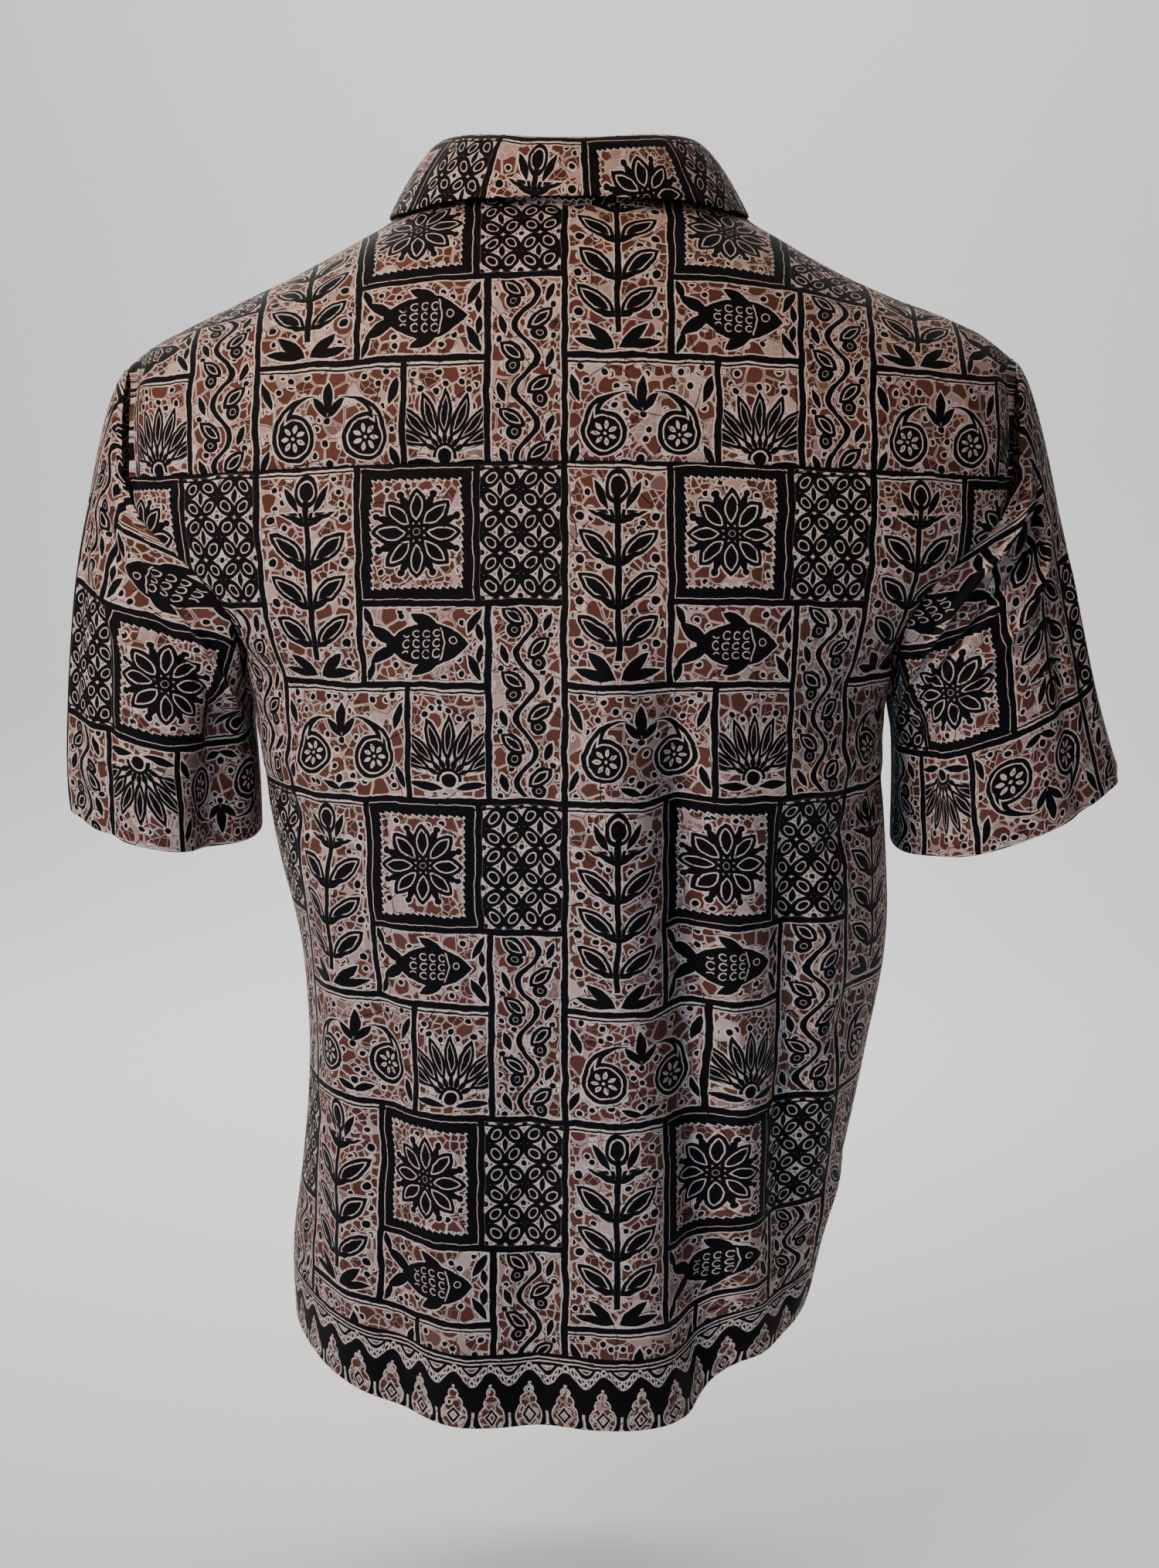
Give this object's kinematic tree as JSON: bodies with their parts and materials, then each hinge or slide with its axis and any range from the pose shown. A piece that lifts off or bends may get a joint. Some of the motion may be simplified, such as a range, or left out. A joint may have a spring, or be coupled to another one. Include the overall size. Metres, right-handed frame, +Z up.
{
  "type": "shirt",
  "caption": "Men's short-sleeved batik cotton shirt, filled out as when worn, with a fold-over collar, back yoke, buttoned front, set-in sleeves and a printed border along the hem.",
  "frame": {"origin": "middle of the neck opening, at the height of the collar seam at the back of the neck, where the wearer's neck and shoulders carry the shirt", "axes": "+Z up, the front with its buttons faces -Y, and the wearer's left side is towards +X"},
  "size_m": [0.622, 0.2728, 0.7356],
  "materials": {
    "body_cloth": "thin printed cotton with a soft sheen",
    "sleeve_cloth": "thin printed cotton with a soft sheen",
    "collar_cloth": "doubled, stiffened printed cotton",
    "button": "dark polished resin"
  },
  "bodies": {
    "root": {"back": "body_cloth", "yoke": "body_cloth", "front_left": "body_cloth", "front_right": "body_cloth", "sleeve_left": "sleeve_cloth", "sleeve_right": "sleeve_cloth", "collar_stand": "collar_cloth", "collar_leaf": "collar_cloth", "button_1": "button", "button_2": "button", "button_3": "button", "button_4": "button", "button_5": "button", "button_6": "button", "button_7": "button"}
  },
  "joints": []
}
